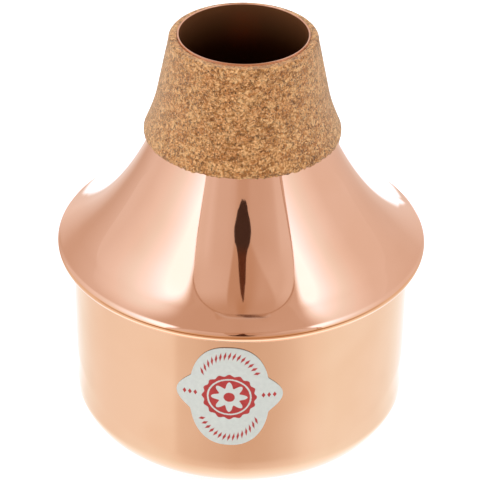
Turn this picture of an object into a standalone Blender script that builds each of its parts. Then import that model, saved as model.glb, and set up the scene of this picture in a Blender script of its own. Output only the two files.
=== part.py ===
"""Wah-wah mute: a spun copper body in two shells joined by a rolled seam, with a cork collar
on its neck and a sliding stem with a flared cup in its dished bottom.

Sizes are in millimetres and degrees. The mesh helpers turn them into metres.
The mute stands on its bottom: +Z is the axis of the body, z = 0 is the surface it stands on,
and the label faces -Y.
"""
import math

import bmesh
import bpy
from mathutils import Vector

MM = 0.001

# Sheet and fits
SHEET = 0.6                  # spun copper sheet of both shells and the cup
SEAT_GAP = 0.3               # between pieces that touch, are glued or are soldered
RUNNING_CLEARANCE = 0.15     # stem tube in its sleeve, on the radius
GRIP_CLEARANCE = 0.05        # the same at the sleeve's spring fingers

# Upper shell: neck, flare, brow and rolled rim
RIM_RADIUS = 51.0            # widest point of the mute
RIM_HEIGHT = 54.0            # middle of the rolled rim above the base
ROLL_RADIUS = 1.8            # outside of the rolled rim's round edge
ROLL_START = 62.0            # the roll takes over from the brow at this angle above level
BROW_INSET = 5.6             # where the flare turns convex, inward from the rim
BROW_RISE = 4.35             # the same, above the middle of the roll
BROW_SLOPE = 32.7            # fall of the shell there, from level
BROW_PULL = 0.36             # handles of the curve from brow to roll, as a share of its span
FLARE_HEIGHT = 40.0          # from the brow up to the end of the straight neck
FLARE_NECK_PULL = 9.8        # length of the curve's handle at the neck
FLARE_BROW_PULL = 14.9       # length of the curve's handle at the brow
NECK_LENGTH = 18.4           # straight taper of the neck
NECK_TAPER = 0.19            # radius gained for each millimetre down the neck
MOUTH_RADIUS = 16.85         # bore at the mouth

# Bowl shell: flange, wall, base ring and dished bottom
SEAM_WIDTH = 3.8             # the rim overhangs the bowl's wall by this
FLANGE_BEND = 0.5            # outside bend between flange and wall
CORNER_RADIUS = 8.3          # rounded bottom corner
BASE_RING_WIDTH = 4.5        # flat ring that the mute stands on
DISH_EDGE_RADIUS = 3.0       # from the base ring up into the dish
DISH_ANGLE = 42.0            # rise of the dish, from level
THROAT_RADIUS = 2.5          # from the dish into the collar
COLLAR_HEIGHT = 6.0          # turned-up collar that holds the sleeve

# Cork collar
CORK_DROP = 1.05             # the copper mouth stands proud of the cork by this
CORK_LENGTH = 27.7
CORK_TOP_WALL = 1.65
CORK_BOTTOM_WALL = 1.85
CORK_EDGE_RADIUS = 0.9       # rounded top edge

# Stem: sleeve, tube and cup
SLEEVE_WALL = 0.6
SLEEVE_LENGTH = 24.0         # straight part, up from the throat
SLEEVE_LIP_SWEEP = 50.0      # turn of the lip that seats in the dish's throat
SLOT_WIDTH = 0.8
SLOT_DEPTH = 12.0            # slots between the spring fingers
FINGER_TIP = 3.0             # length over which the fingers close in
TUBE_RADIUS = 7.95
TUBE_WALL = 0.5
TUBE_LENGTH = 72.0
SOCKET_LENGTH = 5.0          # the cup's socket round the tube's end
CUP_RIM_RADIUS = 19.5
CUP_RIM_SLOPE = 25.0         # fall of the cup at its rim, from level
CUP_BEAD_RADIUS = 0.9        # rolled edge of the cup
CUP_BEAD_SWEEP = 310.0
CUP_SOCKET_PULL = 0.42       # handle of the cup's curve at the socket, as a share of its drop
CUP_RIM_PULL = 0.5           # handle at the rim, as a share of its reach
CUP_BASE_CLEARANCE = 2.4     # the cup's edge stays above the base by this when pushed in

# Label
LABEL_HEIGHT = 32.0
LABEL_WIDTH = 21.5           # without its side lobes
LABEL_SQUARENESS = 2.4       # 2 is a plain oval, more is squarer
LABEL_LOBE = 3.6             # reach of each side lobe
LABEL_LOBE_HEIGHT = 11.0
LABEL_TOP_DROP = 5.4         # upper edge below the middle of the roll
LABEL_TURN = -3.2            # round the axis, from -Y towards +X
LABEL_THICKNESS = 0.2
LABEL_GAP = 0.15             # adhesive

# Facets
BODY_FACETS = 52
STEM_FACETS = 36

# Sizes that follow from these
BOWL_RADIUS = RIM_RADIUS - SEAM_WIDTH
ROLL_CENTRE_RADIUS = RIM_RADIUS - ROLL_RADIUS
BROW_RADIUS = RIM_RADIUS - BROW_INSET
BROW_HEIGHT = RIM_HEIGHT + BROW_RISE
NECK_END_HEIGHT = BROW_HEIGHT + FLARE_HEIGHT
MOUTH_HEIGHT = NECK_END_HEIGHT + NECK_LENGTH
NECK_TOP_RADIUS = MOUTH_RADIUS + SHEET
NECK_END_RADIUS = NECK_TOP_RADIUS + NECK_TAPER * NECK_LENGTH
CORK_TOP = MOUTH_HEIGHT - CORK_DROP
CORK_BOTTOM = CORK_TOP - CORK_LENGTH
FLANGE_HALF = SHEET / 2
FLANGE_UNDERSIDE = RIM_HEIGHT - FLANGE_HALF
ROLL_BORE = ROLL_RADIUS - SHEET
FLANGE_RADIUS = ROLL_CENTRE_RADIUS + math.sqrt((ROLL_BORE - SEAT_GAP) ** 2 - FLANGE_HALF ** 2)
BASE_RING_INNER = BOWL_RADIUS - CORNER_RADIUS - BASE_RING_WIDTH
SLEEVE_BORE = TUBE_RADIUS + RUNNING_CLEARANCE
SLEEVE_OUTER = SLEEVE_BORE + SLEEVE_WALL
COLLAR_BORE = SLEEVE_OUTER + SEAT_GAP
THROAT_CENTRE_RADIUS = COLLAR_BORE + THROAT_RADIUS
DISH_SINE = math.sin(math.radians(DISH_ANGLE))
DISH_COSINE = math.cos(math.radians(DISH_ANGLE))
DISH_RUN = (BASE_RING_INNER - DISH_EDGE_RADIUS * DISH_SINE) - (THROAT_CENTRE_RADIUS - THROAT_RADIUS * DISH_SINE)
THROAT_HEIGHT = (
    DISH_EDGE_RADIUS * (1 - DISH_COSINE) + DISH_RUN * DISH_SINE / DISH_COSINE + THROAT_RADIUS * DISH_COSINE
)
SOCKET_BORE = TUBE_RADIUS + SEAT_GAP
SOCKET_OUTER = SOCKET_BORE + SHEET
LIP_INNER_SWEEP_RADIUS = THROAT_RADIUS + SEAT_GAP + SLEEVE_WALL
STEM_SEAT = THROAT_HEIGHT - math.sqrt(
    (LIP_INNER_SWEEP_RADIUS + SEAT_GAP) ** 2 - (THROAT_CENTRE_RADIUS - SOCKET_OUTER) ** 2
)
TUBE_BOTTOM = STEM_SEAT - SOCKET_LENGTH
LABEL_MIDDLE = RIM_HEIGHT - LABEL_TOP_DROP - LABEL_HEIGHT / 2


def clear_scene():
    for old in list(bpy.data.objects):
        bpy.data.objects.remove(old, do_unlink=True)


def finish_material(name, colour, roughness, metallic):
    material = bpy.data.materials.new(name)
    material.use_nodes = True
    shader = material.node_tree.nodes["Principled BSDF"]
    shader.inputs["Base Color"].default_value = (*colour, 1.0)
    shader.inputs["Roughness"].default_value = roughness
    shader.inputs["Metallic"].default_value = metallic
    return material


# Lines in the (radius, height) plane

def arc_line(centre, radius, start, end, steps):
    """Points on an arc round centre, from the start angle to the end angle in degrees."""
    line = []
    for step in range(steps + 1):
        angle = math.radians(start + (end - start) * step / steps)
        line.append((centre[0] + radius * math.cos(angle), centre[1] + radius * math.sin(angle)))
    return line


def curve_line(start, start_pull, end_pull, end, steps):
    """Points on a cubic curve from start to end, bent by the handles at both ends."""
    line = []
    for step in range(steps + 1):
        t = step / steps
        weights = ((1 - t) ** 3, 3 * t * (1 - t) ** 2, 3 * t * t * (1 - t), t ** 3)
        points = (start, start_pull, end_pull, end)
        line.append(tuple(sum(w * p[axis] for w, p in zip(weights, points)) for axis in (0, 1)))
    return line


def joined(*lines):
    """One line from several, with the points where they meet kept once."""
    whole = []
    for line in lines:
        for point in line:
            if not whole or math.dist(point, whole[-1]) > 1e-6:
                whole.append(point)
    return whole


def offset_line(line, distance):
    """The line moved sideways. A line that runs down the outside moves inward.
    distance is one number, or one for each point."""
    distances = distance if isinstance(distance, list) else [distance] * len(line)
    moved = []
    for index, (point, step) in enumerate(zip(line, distances)):
        before = line[max(index - 1, 0)]
        after = line[min(index + 1, len(line) - 1)]
        sides = []
        for a, b in ((before, point), (point, after)):
            if a != b:
                run = Vector((b[0] - a[0], b[1] - a[1])).normalized()
                sides.append(Vector((run.y, -run.x)))
        side = sum(sides, Vector((0.0, 0.0))).normalized()
        reach = step / side.dot(sides[0])
        moved.append((point[0] + side.x * reach, point[1] + side.y * reach))
    return moved


def radius_at(line, height):
    """Radius of a falling line at a height."""
    for upper, lower in zip(line, line[1:]):
        if upper[1] >= height >= lower[1]:
            share = (upper[1] - height) / (upper[1] - lower[1])
            return upper[0] + (lower[0] - upper[0]) * share
    raise ValueError(f"the line doesn't pass height {height}")


def sheet_loop(outside, thickness):
    """A closed loop round a sheet whose outside face is the given line."""
    return outside + offset_line(outside, thickness)[::-1]


# Solids

def turned(name, loop, base, facets, material):
    """A solid turned from a closed loop. Its origin is on the axis, at height base."""
    mesh = bpy.data.meshes.new(name)
    vertices = [(r * MM, 0.0, (z - base) * MM) for r, z in loop]
    edges = [(i, (i + 1) % len(loop)) for i in range(len(loop))]
    mesh.from_pydata(vertices, edges, [])
    piece = bpy.data.objects.new(name, mesh)
    piece.location = (0.0, 0.0, base * MM)
    bpy.context.scene.collection.objects.link(piece)
    turn = piece.modifiers.new("turn", "SCREW")
    turn.axis = "Z"
    turn.angle = math.tau
    turn.steps = facets
    turn.render_steps = facets
    turn.use_merge_vertices = True
    turn.merge_threshold = 0.00001
    turn.use_smooth_shade = True
    mesh.materials.append(material)
    return piece


def mouth_to_brow():
    """Outside line of the neck and the flare, from the mouth down to the brow."""
    neck_end = (NECK_END_RADIUS, NECK_END_HEIGHT)
    brow = (BROW_RADIUS, BROW_HEIGHT)
    neck_pull = FLARE_NECK_PULL / math.hypot(NECK_TAPER, 1.0)
    slope = math.radians(BROW_SLOPE)
    flare = curve_line(
        neck_end,
        (neck_end[0] + NECK_TAPER * neck_pull, neck_end[1] - neck_pull),
        (brow[0] - FLARE_BROW_PULL * math.cos(slope), brow[1] + FLARE_BROW_PULL * math.sin(slope)),
        brow,
        10,
    )
    return joined([(NECK_TOP_RADIUS, MOUTH_HEIGHT)], flare)


def make_upper_shell(copper):
    """Neck, flare and brow, with the edge rolled round and closed up under the bowl's flange."""
    leg_run = ROLL_CENTRE_RADIUS - (BOWL_RADIUS + FLANGE_BEND + SEAT_GAP)
    leg_rise = ROLL_BORE - FLANGE_HALF - SEAT_GAP
    leg_angle = math.atan2(leg_rise, leg_run)
    leg_length = leg_run / math.cos(leg_angle) - ROLL_RADIUS * math.tan(leg_angle)
    roll = arc_line(
        (ROLL_CENTRE_RADIUS, RIM_HEIGHT),
        ROLL_RADIUS,
        ROLL_START,
        -90.0 - math.degrees(leg_angle),
        8,
    )
    leg_end = (roll[-1][0] - leg_length * math.cos(leg_angle), roll[-1][1] + leg_length * math.sin(leg_angle))

    brow = (BROW_RADIUS, BROW_HEIGHT)
    brow_slope = math.radians(BROW_SLOPE)
    roll_slope = math.radians(90.0 - ROLL_START)
    pull = math.dist(brow, roll[0]) * BROW_PULL
    shoulder = curve_line(
        brow,
        (brow[0] + pull * math.cos(brow_slope), brow[1] - pull * math.sin(brow_slope)),
        (roll[0][0] - pull * math.cos(roll_slope), roll[0][1] + pull * math.sin(roll_slope)),
        roll[0],
        4,
    )
    outside = joined(mouth_to_brow(), shoulder, roll, [leg_end])
    return turned("upper_shell", sheet_loop(outside, SHEET), RIM_HEIGHT, BODY_FACETS, copper)


def make_bowl_shell(copper):
    """Flange, wall, rounded corner, base ring, dished bottom and the collar round the sleeve."""
    flange_bend_centre = (BOWL_RADIUS + FLANGE_BEND, FLANGE_UNDERSIDE - FLANGE_BEND)
    corner_centre = (BOWL_RADIUS - CORNER_RADIUS, CORNER_RADIUS)
    dish_turn = -90.0 - DISH_ANGLE
    outside = joined(
        [(FLANGE_RADIUS, FLANGE_UNDERSIDE)],
        arc_line(flange_bend_centre, FLANGE_BEND, 90.0, 180.0, 3),
        arc_line(corner_centre, CORNER_RADIUS, 0.0, -90.0, 5),
        arc_line((BASE_RING_INNER, DISH_EDGE_RADIUS), DISH_EDGE_RADIUS, -90.0, dish_turn, 3),
        arc_line((THROAT_CENTRE_RADIUS, THROAT_HEIGHT), THROAT_RADIUS, dish_turn, -180.0, 4),
        [(COLLAR_BORE, THROAT_HEIGHT + COLLAR_HEIGHT)],
    )
    return turned("bowl_shell", sheet_loop(outside, SHEET), 0.0, BODY_FACETS, copper)


def make_cork_collar(cork):
    """Cork turned to the neck's taper, with a rounded top edge."""
    shell = mouth_to_brow()
    edge_height = CORK_TOP - CORK_EDGE_RADIUS
    between = [height for _, height in shell if CORK_BOTTOM < height < edge_height]
    heights = [CORK_TOP, edge_height, *between, CORK_BOTTOM]
    neck = [(radius_at(shell, height), height) for height in heights]
    walls = []
    for height in heights:
        share = (CORK_TOP - height) / CORK_LENGTH
        walls.append(CORK_TOP_WALL + (CORK_BOTTOM_WALL - CORK_TOP_WALL) * share)
    inner = offset_line(neck, -SEAT_GAP)
    outer = offset_line(neck, [-(SEAT_GAP + wall) for wall in walls])
    inner[0] = (inner[0][0], CORK_TOP)
    inner[-1] = (inner[-1][0], CORK_BOTTOM)
    outer[-1] = (outer[-1][0], CORK_BOTTOM)
    edge_centre = (outer[1][0] - CORK_EDGE_RADIUS, CORK_TOP - CORK_EDGE_RADIUS)
    edge = arc_line(edge_centre, CORK_EDGE_RADIUS, 90.0, 0.0, 4)
    loop = joined(edge, outer[2:], inner[::-1])
    return turned("cork_collar", loop, CORK_BOTTOM, BODY_FACETS, cork)


def slot_cutter(name, turn):
    """A flat blade across the top of the sleeve."""
    bpy.ops.mesh.primitive_cube_add(size=1.0)
    cutter = bpy.context.object
    cutter.name = name
    across = 4 * SLEEVE_OUTER
    for vertex in cutter.data.vertices:
        vertex.co.x *= across * MM
        vertex.co.y *= SLOT_WIDTH * MM
        vertex.co.z *= 2 * SLOT_DEPTH * MM
    cutter.location = (0.0, 0.0, (THROAT_HEIGHT + SLEEVE_LENGTH) * MM)
    cutter.rotation_euler = (0.0, 0.0, math.radians(turn))
    cutter.display_type = "WIRE"
    cutter.hide_render = True
    return cutter


def make_stem_sleeve(copper):
    """Guide tube with a lip in the dish's throat and four spring fingers at its top."""
    top = THROAT_HEIGHT + SLEEVE_LENGTH
    close_in = RUNNING_CLEARANCE - GRIP_CLEARANCE
    lip = arc_line(
        (THROAT_CENTRE_RADIUS, THROAT_HEIGHT),
        THROAT_RADIUS + SEAT_GAP,
        180.0,
        180.0 + SLEEVE_LIP_SWEEP,
        5,
    )
    outside = joined([(SLEEVE_OUTER - close_in, top), (SLEEVE_OUTER, top - FINGER_TIP)], lip)
    sleeve = turned("stem_sleeve", sheet_loop(outside, SLEEVE_WALL), THROAT_HEIGHT, STEM_FACETS, copper)
    for index, turn in enumerate((45.0, 135.0)):
        cut = sleeve.modifiers.new(f"slot_{index}", "BOOLEAN")
        cut.operation = "DIFFERENCE"
        cut.solver = "EXACT"
        cut.object = slot_cutter(f"slot_cutter_{index}", turn)
    return sleeve


def make_stem_tube(copper):
    """Straight tube that slides in the sleeve."""
    bottom = TUBE_BOTTOM
    top = TUBE_BOTTOM + TUBE_LENGTH
    outside = [(TUBE_RADIUS, top), (TUBE_RADIUS, bottom)]
    return turned("stem_tube", sheet_loop(outside, TUBE_WALL), STEM_SEAT, STEM_FACETS, copper)


def make_stem_cup(copper):
    """Flared cup with a socket for the tube and a rolled edge."""
    bead_centre = (CUP_RIM_RADIUS - CUP_BEAD_RADIUS, CUP_BASE_CLEARANCE + CUP_BEAD_RADIUS)
    flare_drop = TUBE_BOTTOM - bead_centre[1]
    bead_start = 90.0 + CUP_RIM_SLOPE
    bead = arc_line(bead_centre, CUP_BEAD_RADIUS, bead_start, bead_start - CUP_BEAD_SWEEP, 8)
    rim = bead[0]
    rim_slope = math.radians(CUP_RIM_SLOPE)
    rim_pull = CUP_RIM_PULL * (bead_centre[0] - SOCKET_OUTER)
    flare = curve_line(
        (SOCKET_OUTER, TUBE_BOTTOM),
        (SOCKET_OUTER, TUBE_BOTTOM - CUP_SOCKET_PULL * flare_drop),
        (rim[0] - rim_pull * math.cos(rim_slope), rim[1] + rim_pull * math.sin(rim_slope)),
        rim,
        7,
    )
    outside = joined([(SOCKET_OUTER, STEM_SEAT)], flare)
    inside = offset_line(outside, SHEET)
    loop = joined(outside, bead, inside[-2::-1])
    return turned("stem_cup", loop, STEM_SEAT, STEM_FACETS, copper)


def label_half_width(share):
    """Half the label's width at a share of its half height, from -1 at the bottom to 1 at the top."""
    oval = LABEL_WIDTH / 2 * (1.0 - abs(share) ** LABEL_SQUARENESS) ** (1 / LABEL_SQUARENESS)
    from_lobe = min(abs(share) * LABEL_HEIGHT / LABEL_LOBE_HEIGHT, 1.0)
    return oval + LABEL_LOBE * math.cos(math.pi / 2 * from_lobe)


def make_label(foil):
    """Foil label bent round the bowl's wall, an upright oval with a lobe on each side."""
    rows = 24
    columns = 6
    radius = BOWL_RADIUS + LABEL_GAP
    grid = bmesh.new()
    lines = []
    for row in range(rows + 1):
        share = math.cos(math.pi * row / rows)
        half = label_half_width(share)
        width_steps = 0 if half < 1e-6 else columns
        line = []
        for column in range(width_steps + 1):
            along = half * (2 * column / columns - 1) if width_steps else 0.0
            angle = along / radius
            place = (radius * math.sin(angle), -radius * math.cos(angle), share * LABEL_HEIGHT / 2)
            line.append(grid.verts.new([value * MM for value in place]))
        lines.append(line)
    for upper, lower in zip(lines, lines[1:]):
        for column in range(columns):
            corners = [upper[min(column, len(upper) - 1)], lower[min(column, len(lower) - 1)]]
            corners += [lower[min(column + 1, len(lower) - 1)], upper[min(column + 1, len(upper) - 1)]]
            grid.faces.new(list(dict.fromkeys(corners)))
    mesh = bpy.data.meshes.new("label")
    grid.to_mesh(mesh)
    grid.free()
    mesh.shade_smooth()
    mesh.materials.append(foil)
    label = bpy.data.objects.new("label", mesh)
    label.location = (0.0, 0.0, LABEL_MIDDLE * MM)
    label.rotation_euler = (0.0, 0.0, math.radians(LABEL_TURN))
    bpy.context.scene.collection.objects.link(label)
    thicken = label.modifiers.new("thickness", "SOLIDIFY")
    thicken.thickness = LABEL_THICKNESS * MM
    thicken.offset = 1.0
    thicken.use_even_offset = True
    return label


def main():
    clear_scene()
    polished_copper = finish_material("polished_copper", (0.86, 0.50, 0.36), 0.12, 1.0)
    satin_copper = finish_material("satin_copper", (0.86, 0.53, 0.36), 0.32, 1.0)
    cork = finish_material("cork", (0.45, 0.21, 0.08), 0.85, 0.0)
    foil = finish_material("label_foil", (0.57, 0.60, 0.56), 0.4, 0.3)

    make_upper_shell(polished_copper)
    make_bowl_shell(satin_copper)
    make_cork_collar(cork)
    make_label(foil)
    make_stem_sleeve(satin_copper)

    stem = bpy.data.objects.new("stem_axis", None)
    stem.location = (0.0, 0.0, STEM_SEAT * MM)
    bpy.context.scene.collection.objects.link(stem)
    for piece in (make_stem_tube(polished_copper), make_stem_cup(polished_copper)):
        piece.location = (0.0, 0.0, 0.0)
        piece.parent = stem


main()
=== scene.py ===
"""The looks of a copper wah-wah mute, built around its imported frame.

Sizes are in metres. +Z is the axis of the body, the mute stands on z = 0 and its label faces -Y.
"""
import math

import bpy
import numpy as np
from bpy.props import FloatProperty, FloatVectorProperty, IntProperty, PointerProperty
from mathutils import Matrix, Vector


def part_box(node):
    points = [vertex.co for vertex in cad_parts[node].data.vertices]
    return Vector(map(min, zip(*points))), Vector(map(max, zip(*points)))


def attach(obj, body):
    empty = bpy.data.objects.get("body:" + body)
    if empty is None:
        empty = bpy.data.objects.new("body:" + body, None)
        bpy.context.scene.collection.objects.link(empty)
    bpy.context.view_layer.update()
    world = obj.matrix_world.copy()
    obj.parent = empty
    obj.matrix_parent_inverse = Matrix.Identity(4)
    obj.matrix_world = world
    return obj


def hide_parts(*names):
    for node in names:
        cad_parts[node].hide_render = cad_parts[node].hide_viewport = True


bl_info = {
    "name": "Wah-wah mute",
    "version": (1, 0, 0),
    "blender": (4, 5, 0),
    "location": "3D View > Sidebar > Mute",
    "description": "Spun copper mute with a cork collar, a foil label and a sliding stem",
    "category": "Object",
}

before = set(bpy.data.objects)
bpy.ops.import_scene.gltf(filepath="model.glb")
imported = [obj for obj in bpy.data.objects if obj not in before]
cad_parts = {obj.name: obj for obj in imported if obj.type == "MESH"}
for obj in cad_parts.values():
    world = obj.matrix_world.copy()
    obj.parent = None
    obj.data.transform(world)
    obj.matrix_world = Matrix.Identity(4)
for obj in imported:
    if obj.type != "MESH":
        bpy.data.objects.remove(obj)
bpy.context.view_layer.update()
CORK_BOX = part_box("cork_collar")
LABEL_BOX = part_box("label")
CUP_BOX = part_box("stem_cup")
TUBE_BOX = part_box("stem_tube")

MILLIMETRES = 1000.0
FULL_TURN = 360.0
FLARE_STEPS = 72
SHARP = math.radians(35.0)
WHITE = (1.0, 1.0, 1.0)
BURNT_OUT = 1.85


def number(name, description, default, **options):
    return FloatProperty(name=name, description=description, default=default, **options)


def length(name, description, metres):
    return number(name, description, metres, precision=5, unit="LENGTH")


def angle(name, description, degrees):
    return number(name, description, math.radians(degrees), subtype="ANGLE")


def share(name, description, default):
    return number(name, description, default, min=0.0, max=1.0, subtype="FACTOR")


def colour(name, description, default):
    return FloatVectorProperty(
        name=name, description=description, default=default, min=0.0, max=1.0, subtype="COLOR"
    )


class MuteSizes(bpy.types.PropertyGroup):
    """Sizes of the copper body, the cork and the stem."""

    sheet: length("Sheet", "Thickness of the spun copper", 0.0006)
    seat_gap: length("Seat gap", "Between pieces that are glued, soldered or seated", 0.0003)
    rim_radius: length("Rim radius", "Widest point of the mute", 0.051)
    rim_height: length("Rim height", "Middle of the rolled rim above the table", 0.054)
    roll_radius: length("Roll radius", "Outside of the rolled edge", 0.0018)
    roll_start: angle("Roll start", "Where the roll takes over from the brow, above level", 62.0)
    brow_inset: length("Brow inset", "Where the flare turns over, inward from the rim", 0.0056)
    brow_rise: length("Brow rise", "The same, above the middle of the roll", 0.00435)
    brow_slope: angle("Brow slope", "Fall of the shell there", 32.7)
    brow_pull: share("Brow pull", "Handles of the curve from brow to roll", 0.36)
    flare_height: length("Flare height", "From the brow to the end of the straight neck", 0.04)
    flare_neck_pull: length("Flare pull at the neck", "Handle of the flare's curve", 0.0098)
    flare_brow_pull: length("Flare pull at the brow", "Handle of the flare's curve", 0.0149)
    neck_length: length("Neck length", "Straight taper of the neck", 0.018)
    neck_taper: number("Neck taper", "Radius gained per length down the neck", 0.19)
    mouth_radius: length("Mouth radius", "Bore at the mouth", 0.01693)
    mouth_ream: length("Mouth ream", "Thinning of the sheet at the mouth's edge", 0.0002)
    seam_width: length("Seam width", "Overhang of the rim over the bowl", 0.0038)
    flange_bend: length("Flange bend", "Outside bend between flange and wall", 0.0005)
    corner_radius: length("Corner radius", "Rounded bottom corner", 0.0083)
    base_ring_width: length("Base ring width", "Flat ring that the mute stands on", 0.0045)
    dish_edge_radius: length("Dish edge radius", "From the base ring into the dish", 0.003)
    dish_angle: angle("Dish angle", "Rise of the dish", 42.0)
    throat_radius: length("Throat radius", "From the dish into the collar", 0.0025)
    collar_bore: length("Collar bore", "Radius inside the collar round the sleeve", 0.009)
    collar_height: length("Collar height", "Turned-up collar that holds the sleeve", 0.006)
    cork_rise: length("Cork rise", "Swollen top above the cut height", 0.0001)
    cork_drop: length("Cork drop", "Crumbly foot below the cut height", 0.0005)
    cork_top_wall: length("Cork wall at the top", "Thickness", 0.00165)
    cork_bottom_wall: length("Cork wall at the bottom", "Thickness", 0.0021)
    cork_edge: length("Cork edge", "Rounded top edge", 0.0009)
    tube_wall: length("Tube wall", "Wall of the stem's tube", 0.0005)
    socket_bore: length("Socket bore", "Radius inside the cup's socket", 0.00825)
    cup_bead: length("Cup bead", "Rolled edge of the cup", 0.0009)
    cup_rim_slope: angle("Cup slope at the rim", "Fall of the cup at its rim", 25.0)
    facets: IntProperty(
        name="Facets", description="Steps round each turned piece", default=256, min=48, max=512
    )


class MuteLabel(bpy.types.PropertyGroup):
    """Sizes and colours of the foil label."""

    height: length("Height", "Upright size of the label", 0.032)
    width: length("Width", "Across the middle, without the lobes", 0.0215)
    squareness: number("Squareness", "2 is a plain oval, more is squarer", 2.4)
    lobe: length("Lobe", "Reach of each side lobe", 0.0036)
    lobe_height: length("Lobe height", "Upright size of a lobe", 0.011)
    lobe_rise: length("Lobe rise", "Lobes above the label's middle", 0.0006)
    turn: angle("Turn", "Round the axis, from the front to the right", -3.2)
    thickness: length("Thickness", "Foil and adhesive", 0.00014)
    lift: length("Lift", "Gap under the label", 0.00008)
    foil: colour("Foil", "Silver-grey ground", (0.70, 0.715, 0.655))
    print_red: colour("Print", "Red ink", (0.44, 0.026, 0.021))
    edge: colour("Edge", "Cut edge of the foil", (0.30, 0.29, 0.26))


class MuteFinish(bpy.types.PropertyGroup):
    """Colours of the copper and the cork."""

    polished: colour("Polished copper", "Flare, rim and stem", (0.90, 0.545, 0.40))
    satin: colour("Satin copper", "Bowl", (0.93, 0.59, 0.397))
    # Painted highlight colour: the rolled edge is tinted yellower than the flare so that its highlights
    # come out cream
    roll: colour("Rolled edge", "Lacquer that gathers on the rolled edge", (0.90, 0.51, 0.30))
    mouth: colour("Mouth edge", "Cut edge that fingers and players touch", (0.88, 0.53, 0.40))
    # Deeper down the bore this tint is darkened further as painted shade
    inside: colour("Inside copper", "Tarnished inner face", (0.27, 0.105, 0.042))
    cork_light: colour("Light cork", "Palest granules", (0.84, 0.485, 0.215))
    cork_middle: colour("Middle cork", "Most granules", (0.53, 0.225, 0.068))
    cork_dark: colour("Dark cork", "Darkest granules and joints", (0.19, 0.062, 0.012))


class MuteStudio(bpy.types.PropertyGroup):
    """Camera and light."""

    camera_back: length("Camera distance", "From the axis, towards -Y", 0.4841)
    camera_height: length("Camera height", "Above the table", 0.3635)
    camera_pitch: angle("Camera pitch", "Down from level", 32.85)
    camera_roll: angle("Camera roll", "Turn of the camera about its own axis", 0.729)
    focal_pixels: number("Focal length", "In widths of one picture point", 2060.8)


def body_sizes():
    return bpy.context.scene.mute_sizes


# Lines in the (radius, height) plane

def arc_line(centre, radius, start, end, steps):
    """Points on an arc round centre, from the start angle to the end angle in degrees."""
    angles = np.radians(np.linspace(start, end, steps + 1))
    return [(centre[0] + radius * math.cos(a), centre[1] + radius * math.sin(a)) for a in angles]


def down_slope(point, distance, slope):
    """The point at a distance outward and down, or inward and up where the distance is negative."""
    return (point[0] + distance * math.cos(slope), point[1] - distance * math.sin(slope))


def curve_line(start, start_handle, end_handle, end, steps):
    """Points on a cubic curve."""
    t = np.linspace(0.0, 1.0, steps + 1)[:, None]
    weights = np.hstack([(1 - t) ** 3, 3 * t * (1 - t) ** 2, 3 * t * t * (1 - t), t**3])
    return [tuple(point) for point in weights @ np.array([start, start_handle, end_handle, end])]


def straight_line(start, end, steps):
    """Evenly spaced points from start to end."""
    return [tuple(point) for point in np.linspace(start, end, steps + 1)]


def joined(*lines):
    """One line from several, with the points where they meet kept once."""
    whole = []
    for line in lines:
        for point in line:
            if not whole or math.dist(point, whole[-1]) > 1e-9:
                whole.append((float(point[0]), float(point[1])))
    return whole


def moved_in(line, distance):
    """The line moved sideways. A line that runs down the outside moves inward."""
    points = np.array(line)
    run = np.diff(points, axis=0)
    run /= np.hypot(run[:, 0], run[:, 1])[:, None]
    sides = np.column_stack([run[:, 1], -run[:, 0]])
    before = np.vstack([sides[:1], sides])
    after = np.vstack([sides, sides[-1:]])
    side = before + after
    side /= np.hypot(side[:, 0], side[:, 1])[:, None]
    reach = np.asarray(distance) / np.sum(side * before, axis=1)
    return [tuple(point) for point in points + side * reach[:, None]]


def mouth_to_brow():
    """Outside line of the neck and the flare, from the mouth down to the brow."""
    s = body_sizes()
    brow = (s.rim_radius - s.brow_inset, s.rim_height + s.brow_rise)
    neck_top = (s.mouth_radius + s.sheet, brow[1] + s.flare_height + s.neck_length)
    neck_end = (neck_top[0] + s.neck_taper * s.neck_length, brow[1] + s.flare_height)
    neck_pull = s.flare_neck_pull / math.hypot(s.neck_taper, 1.0)
    flare = curve_line(
        neck_end,
        (neck_end[0] + s.neck_taper * neck_pull, neck_end[1] - neck_pull),
        down_slope(brow, -s.flare_brow_pull, s.brow_slope),
        brow,
        FLARE_STEPS,
    )
    return joined(straight_line(neck_top, neck_end, 12), flare)


def radius_at(line, height):
    """Radius of a falling line at a height."""
    points = np.array(line)[::-1]
    return float(np.interp(height, points[:, 1], points[:, 0]))


# Meshes

def new_piece(name, places, faces, materials):
    """An object with a mesh of its own."""
    mesh = bpy.data.meshes.new(name)
    mesh.from_pydata(places, [], faces)
    for material in materials:
        mesh.materials.append(material)
    piece = bpy.data.objects.new(name, mesh)
    bpy.context.scene.collection.objects.link(piece)
    return piece


def finish_faces(mesh, kinds):
    """Smooth faces with sharp edges between them. kinds holds the number of each face's material."""
    mesh.polygons.foreach_set("material_index", np.array(kinds, np.int32))
    mesh.shade_smooth()
    mesh.set_sharp_from_angle(angle=SHARP)


def turned(name, loop, facets, materials, kinds=None):
    """A mesh turned from a closed loop. kinds holds the material's number at each point of the loop."""
    points = np.array(loop)
    count = len(points)
    turn = np.linspace(0.0, math.tau, facets, endpoint=False)[:, None]
    radius = points[:, 0][None, :]
    height = np.broadcast_to(points[:, 1], (facets, count))
    places = np.stack([radius * np.cos(turn), radius * np.sin(turn), height], axis=2)
    here = np.arange(facets)[:, None] * count + np.arange(count)[None, :]
    beside = np.roll(here, -1, axis=0)
    faces = np.stack([here, np.roll(here, -1, axis=1), np.roll(beside, -1, axis=1), beside], axis=2)
    piece = new_piece(name, places.reshape(-1, 3).tolist(), faces.reshape(-1, 4).tolist(), materials)
    finish_faces(piece.data, np.tile(np.zeros(count) if kinds is None else kinds, facets))
    return piece


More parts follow.
